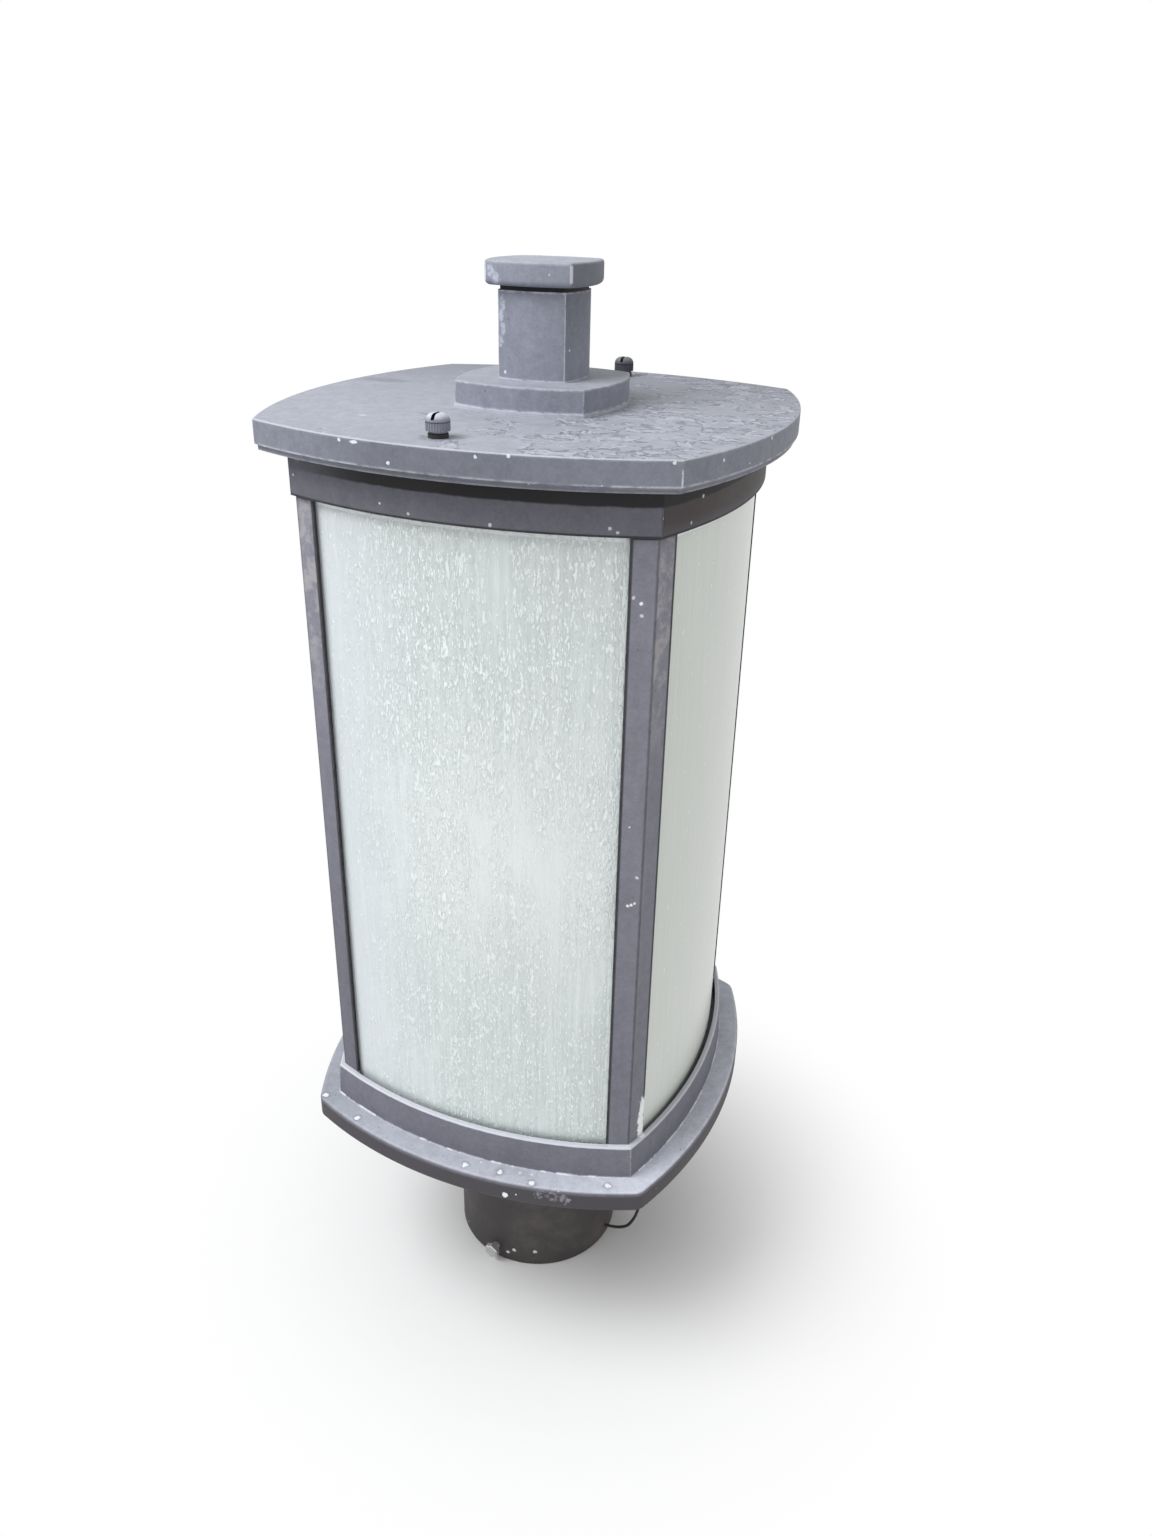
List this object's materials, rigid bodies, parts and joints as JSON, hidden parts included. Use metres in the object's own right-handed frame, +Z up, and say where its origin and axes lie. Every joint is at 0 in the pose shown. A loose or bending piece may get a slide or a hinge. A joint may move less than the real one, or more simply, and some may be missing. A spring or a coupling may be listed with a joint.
{
  "type": "post lantern",
  "caption": "Square post lantern with bowed sides, bent glass panels in corner posts, flat lift-off roof with a stepped finial, and a round collar that slips over a lamp post.",
  "frame": {"origin": "centre of the collar's lower rim, at the mouth of its bore", "axes": "+Z up along the collar's axis, front face towards -Y, right face towards +X"},
  "size_m": [0.2, 0.2, 0.494],
  "materials": {
    "painted_cage": "weathered powder coat",
    "painted_roof": "chalky weathered powder coat",
    "painted_fitter": "satin powder coat",
    "thumb_paint": "worn dark coat",
    "bent_glass": "seeded, frosted",
    "zinc": "zinc plated",
    "spring_steel": "bare",
    "bracket_steel": "zinc plated",
    "brass": "plain",
    "porcelain": "glazed",
    "screw_shell": "bright",
    "bulb_glass": "inside frosted",
    "black_rubber": "matt",
    "lead_jacket": "matt"
  },
  "bodies": {
    "frame": {"base_casting": "painted_cage", "top_ring": "painted_cage", "corner_post_front_left": "painted_cage", "corner_post_front_right": "painted_cage", "corner_post_rear_left": "painted_cage", "corner_post_rear_right": "painted_cage", "post_fitter": "painted_fitter", "fitter_flange": "painted_fitter", "glass_front": "bent_glass", "glass_right": "bent_glass", "glass_rear": "bent_glass", "glass_left": "bent_glass", "fitter_screws": "zinc", "post_screws": "zinc", "clip_screws": "zinc", "bracket_screws": "zinc", "ground_screw": "zinc", "glass_clips": "spring_steel", "socket_bracket": "bracket_steel", "ground_lug": "bracket_steel", "socket_nipple": "brass", "nipple_nuts": "brass", "lampholder_contact": "brass", "lampholder_body": "porcelain", "lampholder_shell": "screw_shell", "ground_lead": "lead_jacket"},
    "roof": {"roof_cover": "painted_roof", "roof_gasket": "black_rubber", "finial_plate": "painted_roof", "finial_column": "painted_roof", "finial_cap": "painted_roof", "finial_rod": "zinc", "finial_washer": "zinc", "finial_nut": "zinc"},
    "front_washer": {"thumb_washer_front": "black_rubber"},
    "front_screw": {"thumb_screw_front": "thumb_paint"},
    "rear_washer": {"thumb_washer_rear": "black_rubber"},
    "rear_screw": {"thumb_screw_rear": "thumb_paint"},
    "front_set_screw": {"set_screw_front": "zinc"},
    "right_set_screw": {"set_screw_right": "zinc"},
    "rear_set_screw": {"set_screw_rear": "zinc"},
    "lamp": {"lamp_base": "screw_shell", "lamp_bulb": "bulb_glass"}
  },
  "joints": [
    {"name": "roof_lift", "type": "slide", "parent": "frame", "child": "roof", "axis": [0, 0, 1], "range_m": [0, 0.12]},
    {"name": "front_thumb_rise", "type": "slide", "parent": "roof", "child": "front_washer", "axis": [0, 0, 1], "range_m": [0, 0.0096]},
    {"name": "front_thumb_turn", "type": "hinge", "parent": "front_washer", "child": "front_screw", "pos_m": [-0.005, -0.0841, 0.441], "axis": [0, 0, 1], "range_deg": [0, 4325]},
    {"name": "rear_thumb_rise", "type": "slide", "parent": "roof", "child": "rear_washer", "axis": [0, 0, 1], "range_m": [0, 0.0096]},
    {"name": "rear_thumb_turn", "type": "hinge", "parent": "rear_washer", "child": "rear_screw", "pos_m": [0.005, 0.0841, 0.441], "axis": [0, 0, 1], "range_deg": [0, 4325]},
    {"name": "front_set_screw_slide", "type": "slide", "parent": "frame", "child": "front_set_screw", "axis": [-0.1736, -0.9848, 0], "range_m": [-0.0028, 0.003]},
    {"name": "right_set_screw_slide", "type": "slide", "parent": "frame", "child": "right_set_screw", "axis": [0.9397, 0.342, 0], "range_m": [-0.0028, 0.003]},
    {"name": "rear_set_screw_slide", "type": "slide", "parent": "frame", "child": "rear_set_screw", "axis": [-0.766, 0.6428, 0], "range_m": [-0.0028, 0.003]},
    {"name": "lamp_unscrew", "type": "slide", "parent": "frame", "child": "lamp", "axis": [0, 0, 1], "range_m": [0, 0.03]}
  ],
  "couplings": [
    {"joint": "front_thumb_turn", "follows": "front_thumb_rise", "rad_per_m": 7854},
    {"joint": "rear_thumb_turn", "follows": "rear_thumb_rise", "rad_per_m": 7854}
  ]
}
